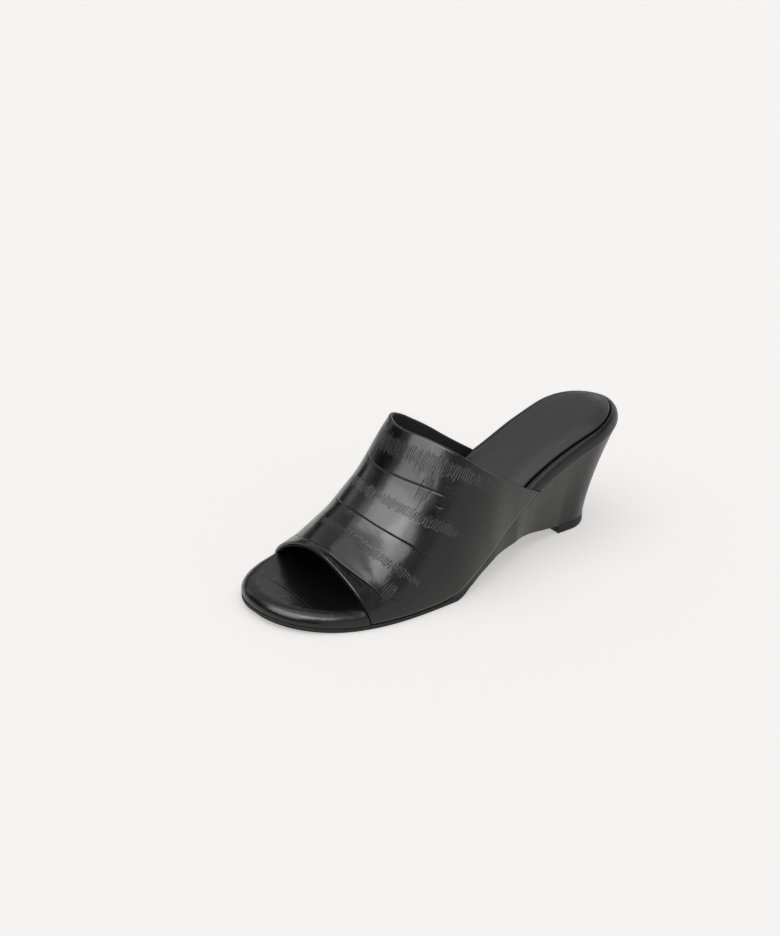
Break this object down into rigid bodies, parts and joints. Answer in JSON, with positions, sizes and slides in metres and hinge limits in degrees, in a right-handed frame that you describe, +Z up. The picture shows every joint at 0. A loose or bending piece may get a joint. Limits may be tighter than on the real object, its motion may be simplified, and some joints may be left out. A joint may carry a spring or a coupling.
{
  "type": "wedge shoe",
  "caption": "Women's open-toe wedge mule: a hollow leather band over a wrapped footbed, on a covered wedge with an arched underside.",
  "frame": {"origin": "on the floor, under the middle of the shoe's box", "axes": "+Z up, toe along -Y, outer side of the foot along +X"},
  "size_m": [0.0878, 0.237, 0.0784],
  "materials": {
    "upper": "glossy pleated black leather",
    "footbed": "glossy black leather over board",
    "sock": "smooth satin black leather over foam",
    "wedge": "smooth satin black leather cover",
    "outsole": "matte black sheet",
    "top_piece": "matte black rubber"
  },
  "bodies": {
    "root": {"upper": "upper", "footbed": "footbed", "sock": "sock", "wedge": "wedge", "outsole": "outsole", "top_piece": "top_piece"}
  },
  "joints": []
}
